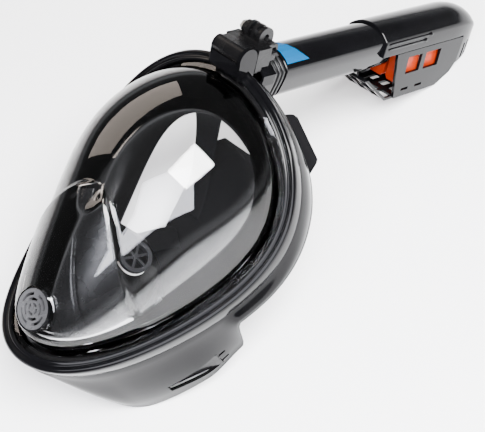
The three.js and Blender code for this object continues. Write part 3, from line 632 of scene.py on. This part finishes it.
# ---- snorkel ----
def tube_outline(grow):
    """The tube's section, a crowned top over sides that taper down, grown outward by a small amount."""
    half = [(0, 19 + grow), (6.5, 18.1 + grow), (12.5, 15.3 + grow), (18.5 + grow, 10 + grow * 0.6),
            (17.9 + grow, 3), (14 + grow, -12.5 - grow * 0.6), (8.5 + grow * 0.5, -17.2 - grow),
            (0, -19 - grow)]
    outline = half + [(-x, z) for x, z in half[-2:0:-1]]
    radii = [5, 5, 5, 1.6, 6, 6, 6, 6, 6, 6, 6, 1.6, 5, 5]
    return rounded(outline, radii, 5)


def tube_row(place, grow):
    outline = tube_outline(grow)
    return from_snorkel(np.stack([outline[:, 0], np.full(len(outline), place), outline[:, 1]], 1))


def snorkel_tube():
    ends = [(0.5, 0), (0, -0.5), (0, -TUBE_WALL),
            (TUBE_LENGTH, -TUBE_WALL), (TUBE_LENGTH, -0.5), (TUBE_LENGTH - 0.5, 0)]
    rows = np.array([tube_row(place, grow) for place, grow in ends])
    faces = band_faces(len(rows), rows.shape[1], True)
    add_piece("tube_body", rows.reshape(-1, 3), faces, GLOSS, "snorkel", "snorkel_tube", 20)


def ribbed_collar():
    """A sleeve at the tube's foot with three rounded ribs round it."""
    profile = [(-20, -2.0), (-19.6, -1.6)]
    for rib in COLLAR_RIBS:
        profile += [(rib - 0.2, -1.6), (rib, -1.4), (rib + 0.1, 0.2), (rib + 0.5, 0.6),
                    (rib + 1.9, 0.6), (rib + 2.3, 0.2), (rib + 2.4, -1.4), (rib + 2.6, -1.6)]
    profile += [(-0.6, -1.6), (-0.3, -1.9), (-0.3, -5.5), (-20, -5.5)]
    rows = np.array([tube_row(place, grow) for place, grow in profile])
    faces = band_faces(len(rows), rows.shape[1], True)
    add_piece("ribbed_collar", rows.reshape(-1, 3), faces, COLLAR_BLACK, "snorkel", "tube_collar", 35)


def hood_row(place, floor, inset=0.0):
    """One section of the hood; past its round start it narrows and sinks toward the rounded end."""
    past = max(0, place - HOOD["round"]) / (HOOD["end"] - HOOD["round"])
    bend = math.sqrt(max(0, 1 - past ** 2.4))
    middle = HOOD["middle"]
    half = [(0, 21), (7, 20.1), (13.5, 17.3), (20.8, 11.2), (20.8, floor)]
    outline = [(-x, z) for x, z in half[:0:-1]] + half
    shaped = []
    for x, z in outline:
        height = z if z == HOOD["skirt"] else middle + (z - middle) * (0.35 + 0.65 * bend)
        shaped.append((x * (0.55 + 0.45 * bend), height))
    edge = rounded(shaped, [0.5, 2.2, 6, 6, 6, 6, 6, 2.2, 0.5], 5)
    pull = 1 - inset / 21
    return from_snorkel(np.stack([edge[:, 0] * pull, np.full(len(edge), place), edge[:, 1] * pull], 1))


def vent_cutters():
    """The upright end vents, cut through both sides of the hood's tail."""
    cutters = []
    for place, middle, width in VENTS:
        near, far, low, high = place - width / 2, place + width / 2, middle - 9, middle + 5
        for sign in (-1, 1):
            points, faces = prism([(near, low), (far, low), (far, high), (near, high)], sign * 12, sign * 30)
            cutters.append((from_snorkel(points[:, [2, 0, 1]]), faces))
    return cutters


def dry_top_cover():
    start, skirt, tail_length = HOOD["start"], HOOD["skirt"], HOOD["end"] - HOOD["tail"]
    rows = [hood_row(start, skirt, 1.0), hood_row(start, skirt, 0.4), hood_row(start + 0.5, skirt)]
    rows += [hood_row(place, skirt) for place in np.linspace(start + 6, HOOD["tail"] - 0.4, 30)]
    rows += [hood_row(HOOD["end"] - tail_length * (1 - u) ** 1.6, HOOD["tail_floor"])
             for u in np.linspace(0, 1, 26)]
    carve(loft("hood_shell", rows, GLOSS, "snorkel", "dry_top_cover", 24), vent_cutters())


def hood_rail(name, height, end, sign):
    """A rounded bead along one side of the hood, ending in a small bump."""
    rows = []
    for place in np.linspace(RAIL_START, end, 40):
        near = min(place - RAIL_START, end - place)
        radius = 1.2 * min(1, (near / 2 + 0.05) ** 0.5) + 0.8 * math.exp(-((place - end + 4) / 2.4) ** 2)
        out, up = np.array(circle(radius, 14)).T
        rows.append(from_snorkel(np.stack([sign * 20.6 + out, np.full(14, place), height + up], 1)))
    loft(name, rows, GLOSS, "snorkel")


snorkel_tube()
ribbed_collar()
dry_top_cover()
for rail_name, rail_height, rail_end in RAILS:
    for side, sign in (("right", 1), ("left", -1)):
        hood_rail(f"{rail_name}_{side}", rail_height, rail_end, sign)


# ---- carried-over CAD nodes: softened edges and their own material ----
MERGE_DISTANCE = 0.00001             # metres
EDGE_ROUNDING = 0.0004


def finish_node(name):
    """Gives a carried-over node its material and fine rounded edges; a replaced one is left as it is."""
    node = frame["nodes"][name]
    if node.hide_render:
        return
    node.data.materials.clear()
    node.data.materials.append(OWN_MATERIAL.get(name, BY_SLOT[SLOTS[name]]))
    weld = node.modifiers.new("weld", "WELD")
    weld.merge_threshold = MERGE_DISTANCE
    bevel = node.modifiers.new("bevel", "BEVEL")
    bevel.width = EDGE_ROUNDING
    bevel.segments = 2
    bevel.limit_method = "ANGLE"
    bevel.angle_limit = math.radians(32)
    bevel.harden_normals = False


for node_name in frame["nodes"]:
    finish_node(node_name)


# ---- studio, in metres ----
FLOOR_REACH = 6
MIDDLE = Vector((0, -0.08, 0.12))    # where the lights aim


def add_floor():
    mesh = bpy.data.meshes.new("floor")
    corners = [(x * FLOOR_REACH, y * FLOOR_REACH, 0) for x, y in ((-1, -1), (1, -1), (1, 1), (-1, 1))]
    mesh.from_pydata(corners, [], [(0, 1, 2, 3)])
    floor = bpy.data.objects.new("floor", mesh)
    bpy.context.scene.collection.objects.link(floor)
    material, nodes, links, shader = new_material("pale_floor")
    cloud = noise(nodes, links, 3)
    shade = colour_ramp(nodes, links, cloud.outputs["Fac"], (0.88, 0.88, 0.885), (0.92, 0.92, 0.92))
    links.new(shade, shader.inputs["Base Color"])
    shader.inputs["Roughness"].default_value = 0.6
    mesh.materials.append(material)


def add_softbox(name, direction, distance, size, radiance, tint=(1, 1, 1)):
    """A rectangle of light facing the mask; its power follows from its size and how bright it should look."""
    data = bpy.data.lights.new(name, "AREA")
    data.shape = "RECTANGLE"
    data.size, data.size_y = size
    data.energy = radiance * math.pi * size[0] * size[1]
    data.color = tint
    light = bpy.data.objects.new(name, data)
    bpy.context.scene.collection.objects.link(light)
    away = Vector(direction).normalized()
    light.location = MIDDLE + away * distance
    light.rotation_euler = (-away).to_track_quat("-Z", "Y").to_euler()


def add_world():
    """A dim room with a brighter band low round the horizon, like pale walls behind the table."""
    world = bpy.data.worlds.new("studio")
    bpy.context.scene.world = world
    world.use_nodes = True
    nodes, links = world.node_tree.nodes, world.node_tree.links
    place = nodes.new("ShaderNodeTexCoord")
    split = nodes.new("ShaderNodeSeparateXYZ")
    height = nodes.new("ShaderNodeMapRange")
    height.interpolation_type = "SMOOTHSTEP"
    height.inputs["From Min"].default_value = 0.02
    height.inputs["From Max"].default_value = 0.14
    height.inputs["To Min"].default_value = 0.7
    height.inputs["To Max"].default_value = 0.16
    links.new(place.outputs["Generated"], split.inputs["Vector"])
    links.new(split.outputs["Z"], height.inputs["Value"])
    background = nodes["Background"]
    background.inputs["Color"].default_value = (0.95, 0.96, 1.0, 1)
    links.new(height.outputs["Result"], background.inputs["Strength"])


add_floor()
add_softbox("key", (0.5, 0.02, 0.86), 1.5, (0.8, 0.8), 72)
add_softbox("sky", (0.52, -0.46, 0.72), 1.7, (1.5, 1.4), 16, (0.92, 0.93, 1.0))
add_softbox("back", (-0.8, 0.12, 0.5), 1.8, (1.9, 0.9), 4, (1.0, 0.88, 0.78))
add_world()
